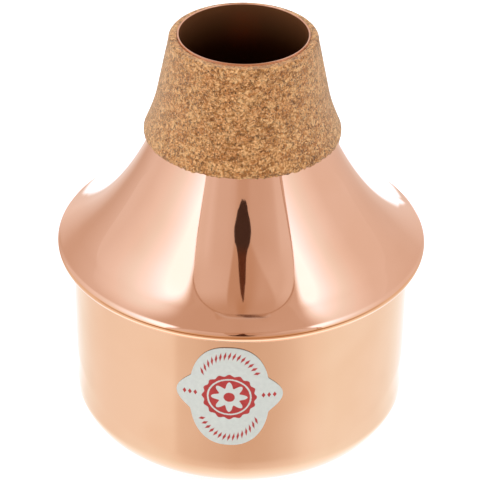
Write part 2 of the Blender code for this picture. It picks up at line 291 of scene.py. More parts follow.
def sheet_edge(outer, inner):
    """Points that round the cut edge of a sheet, from its outer corner to its inner one."""
    steps, bulge = 6, 0.4
    outer, inner = Vector(outer), Vector(inner)
    middle = (outer + inner) / 2
    half = (outer - inner) / 2
    out = Vector((-half.y, half.x)) * bulge
    turns = np.linspace(0.0, math.pi, steps + 1)[1:-1]
    return [tuple(middle + half * math.cos(a) + out * math.sin(a)) for a in turns]


# Shader nodes

class Value:
    """The output of a node, for plain arithmetic."""

    def __init__(self, tree, socket):
        self.tree = tree
        self.socket = socket

    def __add__(self, other):
        return self.tree.math("ADD", self, other)

    def __sub__(self, other):
        return self.tree.math("SUBTRACT", self, other)

    def __rsub__(self, other):
        return self.tree.math("SUBTRACT", other, self)

    def __mul__(self, other):
        return self.tree.math("MULTIPLY", self, other)

    def __truediv__(self, other):
        return self.tree.math("DIVIDE", self, other)

    def __abs__(self):
        return self.tree.math("ABSOLUTE", self)

    __radd__ = __add__
    __rmul__ = __mul__


class Tree:
    """Short calls that add and link the nodes of one material or world."""

    def __init__(self, owner):
        owner.use_nodes = True
        self.nodes = owner.node_tree.nodes
        self.links = owner.node_tree.links
        self.nodes.clear()

    def add(self, kind, inputs=(), **settings):
        """A new node, with its inputs set or linked by name or number."""
        node = self.nodes.new("ShaderNode" + kind)
        for key, value in settings.items():
            setattr(node, key, value)
        self.fill(node, dict(inputs))
        return node

    def feed(self, socket, value):
        if isinstance(value, Value):
            self.links.new(value.socket, socket)
        elif socket.type == "RGBA":
            socket.default_value = (*value, 1.0)
        else:
            socket.default_value = value

    def fill(self, node, inputs):
        for key, value in inputs.items():
            self.feed(node.inputs[key], value)

    def get(self, kind, inputs=(), output=0, **settings):
        """The output of a new node."""
        return Value(self, self.add(kind, inputs, **settings).outputs[output])

    def made(self, kind, values, **settings):
        """The output of a new node whose inputs take the values in order."""
        return self.get(kind, enumerate(values), **settings)

    def math(self, operation, *values):
        return self.made("Math", values, operation=operation)

    def larger(self, a, b):
        return self.math("MAXIMUM", a, b)

    def square_sum(self, x, y):
        return x * x + y * y

    def apart(self, x, y):
        return self.math("SQRT", self.square_sum(x, y))

    def compass(self, x, y):
        """Bearing in degrees, from the front to the right."""
        return self.math("DEGREES", self.math("ARCTAN2", x, y * -1.0))

    def blend(self, a, b, factor):
        """A number that runs from a to b."""
        return a * (1.0 - factor) + b * factor

    def remap(self, value, low, high, out_low=0.0, out_high=1.0, smooth=True):
        kind = "SMOOTHSTEP" if smooth else "LINEAR"
        return self.made("MapRange", (value, low, high, out_low, out_high), interpolation_type=kind)

    def ramp(self, bearing, stops):
        """Brightness by bearing in degrees. The ramp's colours hold half of each value."""
        node = self.add("ValToRGB")
        elements = node.color_ramp.elements
        elements.remove(elements[-1])
        half_turn = FULL_TURN / 2
        for index, (place, value) in enumerate(stops.items()):
            at = (place + half_turn) / FULL_TURN
            element = elements[0] if index == 0 else elements.new(at)
            element.position = at
            element.color = (value / 2, value / 2, value / 2, 1.0)
        self.feed(node.inputs[0], self.remap(bearing, -half_turn, half_turn, smooth=False))
        return self.split(Value(self, node.outputs[0]))[0] * 2.0

    def mix(self, factor, a, b):
        return self.get("Mix", {0: factor, 6: a, 7: b}, 2, data_type="RGBA")

    def split(self, vector):
        node = self.add("SeparateXYZ", {0: vector})
        return [Value(self, socket) for socket in node.outputs]

    def vector(self, operation, a, b):
        return self.made("VectorMath", (a, b), operation=operation)

    def scaled(self, vector, factor):
        return self.get("VectorMath", {0: vector, "Scale": factor}, operation="SCALE")

    def place(self, scale=MILLIMETRES):
        """The point on the piece, in millimetres unless the scale says otherwise."""
        return self.scaled(self.get("TexCoord", output="Object"), scale)

    def noise(self, vector, scale, detail=2.0, roughness=0.5, output=0):
        inputs = {"Vector": vector, "Scale": scale, "Detail": detail, "Roughness": roughness}
        return self.get("TexNoise", inputs, output)

    def voronoi(self, vector, scale, feature, output):
        return self.get("TexVoronoi", {"Vector": vector, "Scale": scale}, output, feature=feature)

    def bump(self, height, strength, distance, normal=None):
        inputs = {"Strength": strength, "Distance": distance, "Height": height}
        if normal is not None:
            inputs["Normal"] = normal
        return self.get("Bump", inputs)


def new_material(name, kind="BsdfPrincipled"):
    """A material with one shader, and its tree to add to."""
    material = bpy.data.materials.new(name)
    tree = Tree(material)
    shader = tree.add(kind)
    tree.add("OutputMaterial", {"Surface": Value(tree, shader.outputs[0])})
    return material, tree, shader


def shared(name, make):
    """A finish by name, made once."""
    return bpy.data.materials.get(name) or make(name)


def tinted(tint, *factors):
    """The colour times one factor, or times one for each channel."""
    if len(factors) == 1:
        factors *= 3
    return tuple(channel * factor for channel, factor in zip(tint, factors))


# Finish: name, roughness and its spread, depth of the turning lines, waviness
COPPERS = {
    "polished": ("mirror_copper", 0.045, 0.012, 0.0000002, 0.000003),
    "satin": ("lacquered_copper", 0.10, 0.02, 0.0000006, 0.000004),
    "roll": ("rolled_copper", 0.05, 0.012, 0.0000002, 0.000003),
    "mouth": ("handled_copper", 0.16, 0.05, 0.000002, 0.000004),
    "inside": ("raw_copper", 0.36, 0.06, 0.000004, 0.00001),
}


def copper(kind):
    """Spun copper: fine turning lines round the axis, a slightly uneven tone, roughness and surface."""
    name, roughness, spread, line_depth, waviness = COPPERS[kind]
    if name in bpy.data.materials:
        return bpy.data.materials[name]
    material, tree, shader = new_material(name)
    tint = getattr(bpy.context.scene.mute_finish, kind)
    place = tree.place()
    x, y, z = tree.split(place)
    turn = tree.math("ARCTAN2", y, x) * 0.6
    lines = tree.made("CombineXYZ", (tree.apart(x, y), turn, z))
    fine = tree.noise(lines, 6.0, 3.0)
    broad = tree.noise(place, 0.045)
    cloud = tree.noise(place, 0.16, 4.0, 0.6)
    metal = tree.mix(tree.remap(broad, 0.3, 0.7), tinted(tint, 0.965, 0.93, 0.89), tint)
    shader.inputs["Metallic"].default_value = 1.0
    if kind == "inside":
        # Painted shade: the inner face turns near black deeper down the bore, below about 101 mm, and keeps
        # its own tint above 118 mm
        shade_below, lit_above = 101.0, 118.0
        lit_share = tree.remap(z + broad, shade_below, lit_above)
        metal = tree.mix(lit_share, tinted(tint, 0.16, 0.09, 0.03), metal)
        tree.fill(shader, {"Metallic": 0.45, "Specular IOR Level": 0.1})
    uneven = cloud * 0.7 + fine * 0.3
    waves = tree.bump(broad, 1.0, waviness)
    tree.fill(shader, {
        "Base Color": metal,
        "Roughness": tree.remap(uneven, 0.3, 0.7, roughness - spread, roughness + spread),
        "Normal": tree.bump(fine, 1.0, line_depth, waves),
    })
    return material


def granulated_cork(name):
    """Pressed cork: pale and brown granules of two sizes, crumbs, chips, dark pits and thin dark joints."""
    material, tree, shader = new_material(name)
    finish = bpy.context.scene.mute_finish
    place = tree.place()
    warped = tree.vector("ADD", place, tree.scaled(tree.noise(place, 1.1, output="Color"), 0.9))
    flat = tree.vector("MULTIPLY", warped, (0.85, 0.85, 1.1))
    large, small = 0.8, 1.5
    large_tone = tree.split(tree.voronoi(flat, large, "F1", "Color"))[0]
    small_tone = tree.split(tree.voronoi(flat, small, "F1", "Color"))[1]
    crumbs = tree.remap(tree.noise(place, 1.8, 4.0, 0.75), 0.36, 0.64, smooth=False)
    broad = tree.remap(tree.noise(place, 0.22, 1.0), 0.3, 0.7, -0.06, 0.06)
    granules = large_tone * 0.26 + small_tone * 0.32
    tone = granules + crumbs * 0.42 + broad
    large_joint = tree.voronoi(flat, large, "DISTANCE_TO_EDGE", "Distance")
    small_joint = tree.voronoi(flat, small, "DISTANCE_TO_EDGE", "Distance")
    patchy = tree.remap(tree.noise(place, 1.3, 1.0), 0.44, 0.58)
    large_joints = tree.remap(large_joint, 0.0, 0.07, 0.85, 0.0)
    small_joints = tree.remap(small_joint, 0.0, 0.06, 0.45, 0.0)
    joints = tree.larger(large_joints, small_joints) * patchy
    pits = tree.remap(tree.noise(place, 1.5, 3.0, 0.7), 0.61, 0.63)
    dark = tree.larger(joints, pits * 0.95)
    reddish = tree.remap(tree.noise(place, 0.35, 3.0, 0.6), 0.4, 0.62)
    middle = tree.mix(reddish, finish.cork_middle, tinted(finish.cork_middle, 1.04, 0.93, 0.88))
    grain = tree.mix(tree.remap(tone, 0.14, 0.48, smooth=False), finish.cork_dark, middle)
    grain = tree.mix(tree.remap(tone, 0.46, 0.84, smooth=False), grain, finish.cork_light)
    chips = tree.remap(tree.noise(warped, 1.9, 3.0, 0.7), 0.57, 0.61, 0.0, 0.8)
    grain = tree.mix(chips, grain, tinted(finish.cork_light, 1.15))
    height = tone - dark * 0.9
    tree.fill(shader, {
        "Base Color": tree.mix(dark, grain, tinted(finish.cork_dark, 0.52)),
        "Roughness": 0.85,
        "Specular IOR Level": 0.2,
        "Sheen Weight": 0.75,
        "Sheen Roughness": 0.45,
        "Sheen Tint": (1.0, 0.83, 0.64),
        "Normal": tree.bump(height, 0.7, 0.00022),
    })
    return material


def printed_foil(name):
    """Silver foil with a plain red print: a flower on a scalloped disc, two rows of leaves, and beads."""
    material, tree, shader = new_material(name)
    label = bpy.context.scene.mute_label
    u, v = tree.split(tree.get("UVMap", uv_map="label_mm"))[:2]

    def inside(distance, limit, soft=0.09):
        return tree.remap(distance, limit - soft, limit + soft, 1.0, 0.0)

    ragged = (tree.noise(tree.place(), 2.2) - 0.5) * 0.22
    from_middle = tree.apart(u, v) + ragged
    bearing = tree.math("ARCTAN2", v, u)
    scallops = tree.math("COSINE", bearing * 16.0)
    petals = tree.math("COSINE", bearing * 8.0)
    disc = inside(from_middle - scallops * 0.28, 7.1)
    flower = inside(from_middle - petals * 0.95, 3.9)
    ring = inside(from_middle, 5.95) - inside(from_middle, 5.5)
    ink = disc - flower - ring
    ink = tree.larger(ink, inside(from_middle, 1.5))

    leaves = 46.0
    across = u / 8.9
    along = v / 13.4
    from_row = tree.apart(across, along) - 1.0
    turn = tree.math("ARCTAN2", along, across) * (leaves / math.tau)
    turn = turn + from_row * 3.2
    leaf = abs(tree.math("FRACT", turn) - 0.5)
    leaf = leaf + abs(from_row) * 3.0
    leaf_middle = (tree.math("FLOOR", turn) + 0.5) * (math.tau / leaves)
    upper_and_lower = tree.remap(abs(tree.math("SINE", leaf_middle)), 0.54, 0.55)
    ink = tree.larger(ink, inside(leaf, 0.3, 0.08) * upper_and_lower)

    bead_step = 1.5
    raised = v - label.lobe_rise * MILLIMETRES
    from_bead = abs(u) - 10.6
    nearest = tree.math("SNAP", from_bead + bead_step / 2, bead_step)
    beside = abs(from_bead - nearest) * 1.6
    bead = inside(beside + abs(raised), 0.85)
    three = inside(abs(from_bead), 2.2, 0.02)
    ink = tree.larger(ink, bead * three)

    wear = tree.noise(tree.place(), 0.8, 5.0, 0.6)
    ground = tree.mix(tree.remap(wear, 0.35, 0.7), tinted(label.foil, 0.93), label.foil)
    faded = tuple(min(1.2 * channel + 0.01, 1.0) for channel in label.print_red)
    red = tree.mix(tree.remap(wear, 0.35, 0.75), label.print_red, faded)
    tree.fill(shader, {
        "Base Color": tree.mix(ink, ground, red),
        "Metallic": 0.1,
        "Roughness": tree.remap(wear, 0.3, 0.7, 0.38, 0.5),
        "Normal": tree.bump(wear, 0.3, 0.00004),
    })
    return material


def plain_edge(name):
    """The cut edge of the label."""
    material, tree, shader = new_material(name)
    edge = bpy.context.scene.mute_label.edge
    speckled = tree.mix(tree.noise(tree.place(), 4.0), edge, tinted(edge, 1.6))
    tree.fill(shader, {"Base Color": speckled, "Roughness": 0.6})
    return material


def seat(piece, body, slot, *nodes):
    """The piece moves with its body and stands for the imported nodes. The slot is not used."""
    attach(piece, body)
    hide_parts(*nodes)


class MUTE_OT_upper_shell(bpy.types.Operator):
    """Neck, flare and brow, with the edge rolled round under the bowl's flange"""

    bl_idname = "mute.upper_shell"
    bl_label = "Upper shell"

    def execute(self, context):
        s = body_sizes()
        bowl_radius = s.rim_radius - s.seam_width
        roll_centre = (s.rim_radius - s.roll_radius, s.rim_height)
        roll_bore = s.roll_radius - s.sheet
        leg_run = roll_centre[0] - (bowl_radius + s.flange_bend + s.seat_gap)
        leg_rise = roll_bore - s.sheet / 2 - s.seat_gap
        leg_angle = math.atan2(leg_rise, leg_run)
        leg_length = leg_run / math.cos(leg_angle) - s.roll_radius * math.tan(leg_angle)
        start = math.degrees(s.roll_start)
        roll = arc_line(roll_centre, s.roll_radius, start, -90.0 - math.degrees(leg_angle), 40)
        leg_end = down_slope(roll[-1], -leg_length, leg_angle)
        upper = mouth_to_brow()
        brow = upper[-1]
        pull = math.dist(brow, roll[0]) * s.brow_pull
        shoulder = curve_line(
            brow,
            down_slope(brow, pull, s.brow_slope),
            down_slope(roll[0], -pull, math.pi / 2 - s.roll_start),
            roll[0],
            20,
        )
        outside = joined(upper, shoulder, roll, [leg_end])
        inside = moved_in(outside, s.sheet)[::-1]
        inside[-1] = (inside[-1][0] + s.mouth_ream, inside[-1][1])
        rolled_end = sheet_edge(outside[-1], inside[0])
        mouth_edge = sheet_edge(inside[-1], outside[0])
        loop = outside + rolled_end + inside + mouth_edge

        # The inner face keeps its polish where the roll closes it off, for this many points
        closed_off = 60
        kinds = np.zeros(len(loop))
        kinds[len(outside) + len(rolled_end) + closed_off:] = 1
        kinds[len(loop) - len(mouth_edge) - 1:] = 2
        kinds[0] = 2
        # The rolled-over part takes the yellower roll tint, a painted highlight colour
        rolled_over = [point[1] < s.rim_height + s.roll_radius / 2 for point in outside]
        kinds[rolled_over.index(True):len(outside)] = 3
        finishes = [copper(kind) for kind in ("polished", "inside", "mouth", "roll")]
        shell = turned("flared_shell", loop, s.facets, finishes, kinds)
        seat(shell, "body", "polished_copper", "upper_shell")
        return {"FINISHED"}


class MUTE_OT_bowl_shell(bpy.types.Operator):
    """Flange, wall, rounded corner, base ring, dished bottom and collar"""

    bl_idname = "mute.bowl_shell"
    bl_label = "Bowl shell"

    def execute(self, context):
        s = body_sizes()
        bowl_radius = s.rim_radius - s.seam_width
        flange_half = s.sheet / 2
        underside = s.rim_height - flange_half
        reach = math.sqrt((s.roll_radius - s.sheet - s.seat_gap) ** 2 - flange_half**2)
        flange_radius = s.rim_radius - s.roll_radius + reach
        ring_inner = bowl_radius - s.corner_radius - s.base_ring_width
        throat_centre = s.collar_bore + s.throat_radius
        sine, cosine = math.sin(s.dish_angle), math.cos(s.dish_angle)
        dish_run = (ring_inner - s.dish_edge_radius * sine) - (throat_centre - s.throat_radius * sine)
        bends_rise = s.dish_edge_radius * (1 - cosine) + s.throat_radius * cosine
        throat_height = bends_rise + dish_run * sine / cosine
        dish_turn = -90.0 - math.degrees(s.dish_angle)
        wall_top = (bowl_radius, underside - s.flange_bend)
        corner_top = (bowl_radius, s.corner_radius)
        corner_centre = (bowl_radius - s.corner_radius, s.corner_radius)
        edge = arc_line((ring_inner, s.dish_edge_radius), s.dish_edge_radius, -90.0, dish_turn, 12)
        throat = arc_line((throat_centre, throat_height), s.throat_radius, dish_turn, -180.0, 14)
        outside = joined(
            [(flange_radius, underside)],
            arc_line((bowl_radius + s.flange_bend, wall_top[1]), s.flange_bend, 90.0, 180.0, 8),
            straight_line(wall_top, corner_top, 12),
            arc_line(corner_centre, s.corner_radius, 0.0, -90.0, 28),
            edge,
            straight_line(edge[-1], throat[0], 16),
            throat,
            [(s.collar_bore, throat_height + s.collar_height)],
        )
        loop = outside + moved_in(outside, s.sheet)[::-1]
        kinds = np.arange(len(loop)) >= len(outside)
        bowl = turned("spun_bowl", loop, s.facets, [copper("satin"), copper("inside")], kinds)
        seat(bowl, "body", "satin_copper", "bowl_shell")
        return {"FINISHED"}


class MUTE_OT_cork_collar(bpy.types.Operator):
    """Cork turned to the neck's taper, with a rounded top edge and a slightly crumbly foot"""

    bl_idname = "mute.cork_collar"
    bl_label = "Cork collar"

    def execute(self, context):
        s = body_sizes()
        shell = mouth_to_brow()
        top = CORK_BOX[1].z + s.cork_rise
        bottom = CORK_BOX[0].z - s.cork_drop
        rows = 90
        heights = np.linspace(top, bottom, rows)
        neck = [(radius_at(shell, height), float(height)) for height in heights]
        down = (top - heights) / (top - bottom)
        walls = s.cork_top_wall + (s.cork_bottom_wall - s.cork_top_wall) * down
        inner = moved_in(neck, -s.seat_gap)
        outer = moved_in(neck, -(s.seat_gap + walls))
        closed_up = 0.00025
        inner_top = (inner[0][0] - closed_up, top)
        inner_side = [point for point in inner if bottom < point[1] < top] + [(inner[-1][0], bottom)]
        chamfer = 0.0001
        edge_start = top - s.cork_edge * 1.2
        body = [point for point in outer if bottom + 2 * chamfer < point[1] < edge_start]
        edge_centre = (body[0][0] - s.cork_edge, top - s.cork_edge)
        edge = arc_line(edge_centre, s.cork_edge, 90.0, 6.0, 12)
        foot_radius = outer[-1][0]
        foot = [(foot_radius, bottom + chamfer), (foot_radius - chamfer, bottom)]
        loop = joined([inner_top], edge, body, foot, inner_side[::-1])
        cork = turned("pressed_cork", loop, s.facets, [shared("granulated_cork", granulated_cork)])

        seed = 11
        crumbs = np.random.default_rng(seed)
        places = np.zeros(len(cork.data.vertices) * 3)
        cork.data.vertices.foreach_get("co", places)
        places = places.reshape(s.facets, len(loop), 3)
        points = np.array(loop)
        near_foot = (foot_radius - 0.0003, bottom + 0.00025)
        low = (points[:, 0] > near_foot[0]) & (points[:, 1] < near_foot[1])
        places[:, low, 2] += crumbs.uniform(-0.00025, 0.00035, (s.facets, 1))
        cork.data.vertices.foreach_set("co", places.ravel())
        cork.data.update()
        seat(cork, "body", "cork", "cork_collar")
        return {"FINISHED"}


class MUTE_OT_label(bpy.types.Operator):
    """Foil label bent round the bowl's wall"""

    bl_idname = "mute.label"
    bl_label = "Label"

    def execute(self, context):
        label = context.scene.mute_label
        s = body_sizes()
        radius = s.rim_radius - s.seam_width + label.lift
        middle = (LABEL_BOX[0].z + LABEL_BOX[1].z) / 2
        rows, columns = 96, 48
        tip = 0.00002
        upright = np.cos(np.linspace(0.0, math.pi, rows + 1))
        oval = label.width / 2 * (1.0 - np.abs(upright) ** label.squareness) ** (1 / label.squareness)
        from_lobe = np.abs(upright * label.height - 2 * label.lobe_rise) / label.lobe_height
        lobe = label.lobe * np.cos(math.pi / 2 * np.minimum(from_lobe, 1.0))
        half = np.maximum(oval + lobe, tip)
        along = half[:, None] * np.linspace(-1.0, 1.0, columns + 1)[None, :]
        height = np.repeat((upright * label.height / 2)[:, None], columns + 1, axis=1)
        bearing = along / radius + label.turn
        layers = [
            np.stack([face * np.sin(bearing), -face * np.cos(bearing), middle + height], axis=2)
            for face in (radius, radius + label.thickness)
        ]
        places = np.concatenate([layer.reshape(-1, 3) for layer in layers])
        count = (rows + 1) * (columns + 1)
        grid = np.arange(count).reshape(rows + 1, columns + 1)
        corners = [grid[:-1, :-1], grid[1:, :-1], grid[1:, 1:], grid[:-1, 1:]]
        back = np.stack(corners, axis=2).reshape(-1, 4)
        front = back + count
        border = np.concatenate([grid[0, :-1], grid[:-1, -1], grid[-1, :0:-1], grid[:0:-1, 0]])
        following = np.roll(border, -1)
        sides = np.stack([border, following, following + count, border + count], axis=1)
        faces = np.concatenate([front, back[:, ::-1], sides])
        finishes = [shared("printed_foil", printed_foil), shared("label_edge", plain_edge)]
        piece = new_piece("foil_label", places.tolist(), faces.tolist(), finishes)
        mesh = piece.data
        finish_faces(mesh, np.arange(len(faces)) >= len(front))
        uv = mesh.uv_layers.new(name="label_mm")
        flat = np.stack([along.ravel(), height.ravel()], axis=1) * MILLIMETRES
        corner = np.zeros(len(mesh.loops), np.int32)
        mesh.loops.foreach_get("vertex_index", corner)
        uv.data.foreach_set("uv", flat[corner % count].astype(np.float32).ravel())
        seat(piece, "body", "label_foil", "label")
        return {"FINISHED"}


class MUTE_OT_stem(bpy.types.Operator):
    """Sliding stem: straight tube, and flared cup with a socket and a rolled edge"""

    bl_idname = "mute.stem"
    bl_label = "Stem"

    def execute(self, context):
        s = body_sizes()
        facets = s.facets // 2
        tube_radius = TUBE_BOX[1].x
        bottom, top = TUBE_BOX[0].z, TUBE_BOX[1].z
        outside = straight_line((tube_radius, top), (tube_radius, bottom), 24)
        inside = moved_in(outside, s.tube_wall)[::-1]
        ends = (sheet_edge(outside[-1], inside[0]), sheet_edge(inside[-1], outside[0]))
        loop = outside + ends[0] + inside + ends[1]
        loop = joined([(radius, min(max(height, bottom), top)) for radius, height in loop])
        tube = turned("stem_pipe", loop, facets, [copper("polished")])
        seat(tube, "stem", "polished_copper", "stem_tube")

        socket_outer = s.socket_bore + s.sheet
        bead_centre = (CUP_BOX[1].x - s.cup_bead, CUP_BOX[0].z + s.cup_bead)
        socket_pull = 0.42 * (bottom - bead_centre[1])
        bead_start = 90.0 + math.degrees(s.cup_rim_slope)
        bead_turn = 310.0
        bead = arc_line(bead_centre, s.cup_bead, bead_start, bead_start - bead_turn, 40)
        rim = bead[0]
        rim_pull = (bead_centre[0] - socket_outer) / 2
        flare = curve_line(
            (socket_outer, bottom),
            (socket_outer, bottom - socket_pull),
            down_slope(rim, -rim_pull, s.cup_rim_slope),
            rim,
            40,
        )
        outer = joined(straight_line((socket_outer, CUP_BOX[1].z), (socket_outer, bottom), 6), flare)
        loop = joined(outer, bead, moved_in(outer, s.sheet)[-2::-1])
        cup = turned("stem_bell", loop, facets, [copper("polished")])
        seat(cup, "stem", "polished_copper", "stem_cup")
        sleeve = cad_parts["stem_sleeve"]
        sleeve.data.materials.clear()
        sleeve.data.materials.append(copper("satin"))
        return {"FINISHED"}


def toward(bearing, elevation, distance):
    """A place seen from the mute, at a bearing from the front to the right and an elevation in degrees."""
    bearing, elevation = math.radians(bearing), math.radians(elevation)
    level = distance * math.cos(elevation)
    return (level * math.sin(bearing), -level * math.cos(bearing), distance * math.sin(elevation))


def stage_mesh(name, places, faces, material):
    """A studio piece that lights and mirrors in the mute, but is never in the picture itself."""
    card = new_piece(name, places, faces, [material])
    card.visible_camera = False
    return card


def added_to_stage(name, material):
    """The studio piece that an operator has just added."""
    piece = bpy.context.object
    piece.name = name
    piece.data.materials.append(material)
    return piece


def cloth(name, scale):
    """A material that only shines, with the place on it in x, y and z."""
    material, tree, shader = new_material(name, "Emission")
    return material, tree, shader, tree.split(tree.place(scale))


def shine(tree, shader, brightness):
    """Cloth that the copper mirrors warmer the darker it is. All the rest gets white light from it."""
    deep = (0.5, 0.3, 0.16)
    tints = ((deep[1], 1.0, WHITE), (0.95, 1.12, (0.91, 1.0, 1.03)), (1.12, 1.5, (0.91, 1.0, 1.2)))
    seen = deep
    for low, high, tint in tints:
        seen = tree.mix(tree.remap(brightness, low, high, smooth=False), seen, tint)
    mirrored = tree.get("LightPath", output="Is Glossy Ray")
    lighting = brightness * 1.25 + 0.1
    reflected = tree.math("MINIMUM", tree.larger(brightness, 1.0), BURNT_OUT)
    tree.fill(shader, {
        "Color": tree.mix(mirrored, WHITE, seen),
        "Strength": tree.blend(lighting, reflected, mirrored),
    })


def side_panel(name, side, front, hot, top, least):
    """A tall diffuser beside the mute, lit from behind and dim above a curved line.

    Sizes are shares of its distance. front is its reach at the foot, the bend and the top, hot is (gain, y,
    z, width, height) of the lit patch, and top is (height, y, bend, softness, brightness) above the line.
    """
    distance, unlit = 1.6, 0.23
    bend_height, height, back = 1.35, 3.1, 0.62
    material, tree, shader, (x, y, z) = cloth(name, 1.0 / distance)
    gain, hot_y, hot_z, wide, tall = hot
    away_y = (y - hot_y) / wide
    away_z = (z - hot_z) / tall
    lit = tree.math("DIVIDE", gain, tree.square_sum(away_y, away_z) + 1.0)
    lit = tree.larger(lit + unlit, least)
    top_z, top_y, bend, softness, above = top
    aside = y - top_y
    line = top_z - aside * aside * bend
    dim = tree.remap(z - line, -softness, softness)
    shine(tree, shader, tree.blend(lit, above, dim))
    outline = [(-front[0], 0.0), (-front[1], bend_height), (-front[2], height), (back, height), (back, 0.0)]
    places = [(side * distance, y * distance, z * distance) for y, z in outline]
    stage_mesh(name, places, [tuple(range(len(places)))], material)


def front_sheet(tree, bearing, elevation):
    """Brightness of the sheet in front: hanging folds, a fold like a V round the lens, dimmer on top."""
    low = tree.ramp(bearing, {
        -42: 0.8, -36: 0.76, -32: 0.79, -29: 0.73, -25: 0.66, -14: 0.64, -8: 0.6, -3: 0.5, 6: 0.49,
        10: 0.55, 20: 0.56, 31: 0.6, 34: 0.63, 38: 0.74, 46: 0.77,
    })
    high = tree.ramp(bearing, {
        -42: 0.7, -36: 0.73, -28: 0.71, -20: 0.69, -12: 0.66, 16: 0.65, 24: 0.67, 31: 0.69, 38: 0.68,
        43: 0.75, 50: 0.78,
    })
    top = tree.ramp(bearing, {
        -44: 0.46, -32: 0.49, -20: 0.47, -8: 0.46, -2: 0.38, 5: 0.37, 10: 0.42, 18: 0.47, 32: 0.5,
        50: 0.52,
    })
    sheet = tree.blend(low, high, tree.remap(elevation, 33.0, 48.0))
    rise = elevation - 38.0
    left = bearing + (rise * 0.26 + 7.5)
    right = rise * 0.95 + 13.0 - bearing
    edges = tree.remap(left, -1.2, 1.2) * tree.remap(right, -2.5, 2.5)
    fold = edges * tree.remap(elevation, 30.0, 38.0)
    inner = tree.remap(bearing, 8.0, 22.0, 0.44, 0.56)
    sheet = tree.blend(sheet, inner, fold)
    return tree.blend(sheet, top, tree.remap(elevation, 56.0, 75.0))


def tent(radius):
    """A pale tent round the mute: a sheet in front, a dimmer roof, a window behind and bright ground."""
    material, tree, shader, (x, y, z) = cloth("tent_cloth", 1.0 / radius)
    bearing = tree.compass(x, y)
    elevation = tree.math("DEGREES", tree.math("ARCSINE", z))
    wide = abs(bearing)

    # The front sheet under the roof
    sheet = front_sheet(tree, bearing, elevation)
    from_right = elevation * 0.115 + 43.0 - bearing
    across = tree.remap(bearing, -44.2, -43.2) * tree.remap(from_right, -0.5, 0.5)
    beside = tree.remap(wide, 42.0, 46.0) * tree.remap(elevation, 74.0, 66.0)
    roof = tree.ramp(bearing, {
        -180: 0.53, -80: 0.535, -30: 0.53, 0: 0.51, 30: 0.525, 60: 0.55, 80: 0.57, 180: 0.55,
    })
    roof = tree.blend(roof, 0.56, beside)
    inside = across * tree.remap(elevation, 79.8, 78.6)
    upper = tree.blend(roof, sheet, inside)

    # The ground as the bowl mirrors it
    ground = tree.ramp(bearing, {
        -180: 1.75, -150: 1.2, -125: 0.99, -100: 0.93, -46: 0.96, -42: 0.81, -36: 0.78, -30: 0.76,
        -20: 0.69, 0: 0.62, 12: 0.62, 20: 0.64, 26: 0.68, 36: 0.77, 45: 0.9, 53: 0.97, 65: 1.04,
        100: 1.0, 125: 1.05, 150: 1.24, 180: 1.75,
    })
    ground = tree.blend(ground, 1.75, tree.remap(elevation, -40.0, -54.0))

    # The cloth behind, with the window over its sill
    behind = tree.ramp(bearing, {
        -180: 0.72, -163: 0.73, -160: 0.84, -154: 0.93, -150: 0.82, -145: 0.7, -141: 0.58, -137: 0.57,
        -126: 0.69, -120: 0.76, -108: 0.83, -100: 0.87, 100: 0.845, 118: 0.8, 128: 0.765, 134: 0.73,
        142: 0.715, 147: 0.78, 151: 0.82, 156: 0.86, 160: 0.81, 163: 0.73, 180: 0.72,
    })
    sill = elevation + tree.remap(wide, 160.0, 170.0, 0.0, 8.5, smooth=False)
    right_sill = sill - tree.remap(bearing, 159.4, 157.6, 0.0, 2.8)
    left = tree.remap(bearing, -156.5, -160.5) * tree.remap(sill, -1.5, -4.5)
    right = tree.remap(bearing, 152.6, 156.6) * tree.remap(right_sill, -1.9, -4.1)
    behind = tree.blend(behind, BURNT_OUT, tree.larger(left, right))

    # The low line of the horizon
    line = tree.ramp(bearing, {
        -180: 1.0, -118: 0.8, -92: 0.82, -85: 0.62, -78: 0.6, -50: 0.34, -25: 0.22, 0: 0.16,
        25: 0.22, 50: 0.34, 78: 0.6, 85: 0.62, 92: 0.8, 118: 0.8, 180: 1.0,
    })
    rearward = tree.remap(wide, 88.0, 104.0) * tree.remap(elevation, -31.0, -24.0)
    lower = tree.blend(ground, behind, rearward)
    rear = tree.remap(wide, 100.0, 118.0) * tree.remap(elevation, 62.0, 44.0)
    upper = tree.blend(upper, behind, rear)
    brightness = tree.blend(upper, lower, tree.remap(elevation, 1.0, -1.0))
    from_horizon = abs(elevation + 11.0)
    near_horizon = tree.remap(from_horizon, 12.5, 8.0) * tree.remap(wide, 118.0, 108.0)
    brightness = tree.blend(brightness, line, near_horizon)
    shine(tree, shader, brightness)

    bpy.ops.mesh.primitive_uv_sphere_add(segments=72, ring_count=36, radius=radius)
    added_to_stage("tent", material).visible_camera = False


def near_ground(radius):
    """The table right beside the bowl, as its bottom corner mirrors it."""
    material, tree, shader, (x, y, z) = cloth("table_beside_bowl", MILLIMETRES)
    bearing = tree.compass(x, y)
    apart = tree.apart(x, y)
    outer = tree.ramp(bearing, {
        -180: 1.75, -112: 1.64, -97: 1.32, -82: 1.07, -67: 0.96, -52: 0.96, -37: 0.97, -29: 0.95,
        -22: 0.8, -12: 0.7, 0: 0.65, 12: 0.7, 22: 0.8, 30: 0.95, 37: 1.01, 67: 1.03, 82: 1.12,
        97: 1.36, 112: 1.62, 180: 1.75,
    })
    inner = tree.ramp(bearing, {
        -180: 1.8, -82: 1.7, -67: 1.5, -45: 1.3, -22: 1.3, 0: 1.32, 22: 1.38, 45: 1.45, 67: 1.6,
        82: 1.72, 180: 1.8,
    })
    wide = tree.remap(abs(bearing), 25.0, 60.0)
    under = tree.blend(tree.remap(apart, 60.0, 46.0, smooth=False), tree.remap(apart, 54.0, 46.0), wide)
    shine(tree, shader, tree.blend(outer, inner, under))
    corners, sunk = 64, 0.0002
    turns = np.linspace(0.0, math.tau, corners, endpoint=False)
    places = [(radius * math.cos(turn), radius * math.sin(turn), -sunk) for turn in turns]
    table = stage_mesh("table_beside_bowl", places, [tuple(range(len(places)))], material)
    table.visible_diffuse = False
    table.visible_shadow = False


